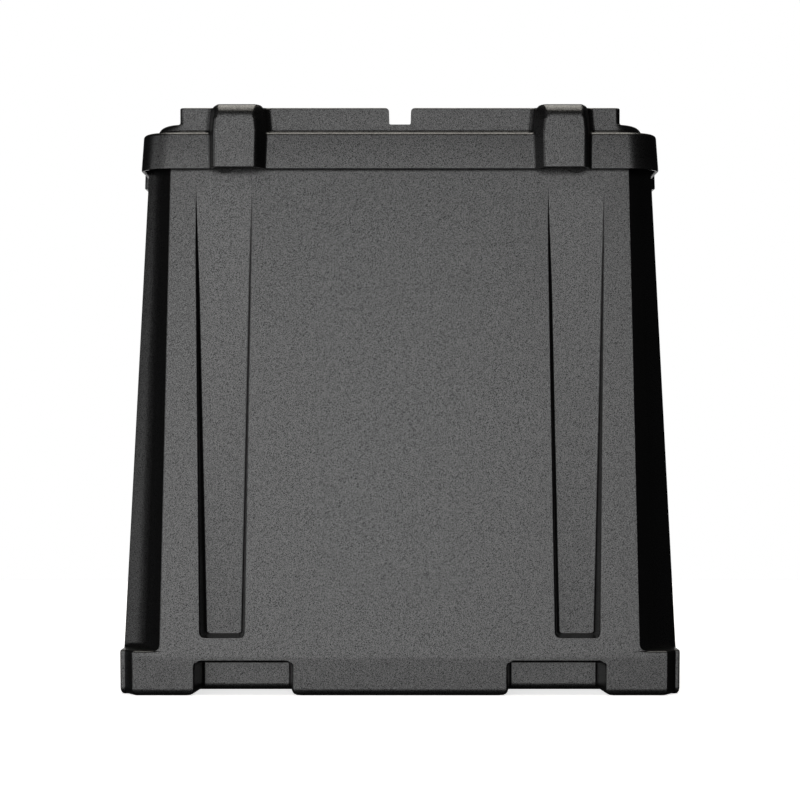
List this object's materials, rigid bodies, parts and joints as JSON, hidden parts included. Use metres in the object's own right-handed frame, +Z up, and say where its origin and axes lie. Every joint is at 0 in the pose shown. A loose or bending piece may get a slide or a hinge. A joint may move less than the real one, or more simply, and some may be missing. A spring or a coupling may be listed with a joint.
{
  "type": "battery box",
  "caption": "Tall black plastic box with a flared base, strap grooves and a hooded lift-off lid, which houses deep-cycle batteries side by side and lets their cables out under the lid.",
  "frame": {"origin": "on the floor, at the middle of the box's footprint", "axes": "+Z up, +X to the right of a person facing the front, which looks along -Y"},
  "size_m": [0.471, 0.38, 0.496],
  "materials": {
    "casing_plastic": "fine moulded grain, satin, black",
    "tub_plastic": "smooth moulded, satin, black",
    "grommet_rubber": "matt, black",
    "screw_steel": "bright, plain"
  },
  "bodies": {
    "box": {"outer_casing": "casing_plastic", "battery_tub": "tub_plastic", "battery_divider": "tub_plastic", "front_left_cable_grommet": "grommet_rubber", "front_right_cable_grommet": "grommet_rubber", "rear_left_cable_grommet": "grommet_rubber", "rear_right_cable_grommet": "grommet_rubber", "left_side_cable_grommet": "grommet_rubber", "right_side_cable_grommet": "grommet_rubber", "left_rim_screw_1": "screw_steel", "left_rim_screw_2": "screw_steel", "left_rim_screw_3": "screw_steel", "left_rim_screw_4": "screw_steel", "right_rim_screw_1": "screw_steel", "right_rim_screw_2": "screw_steel", "right_rim_screw_3": "screw_steel", "right_rim_screw_4": "screw_steel"},
    "lid": {"lid": "casing_plastic"}
  },
  "joints": [
    {"name": "lid_lift", "type": "slide", "parent": "box", "child": "lid", "axis": [0, 0, 1], "range_m": [0, 0.3]}
  ]
}
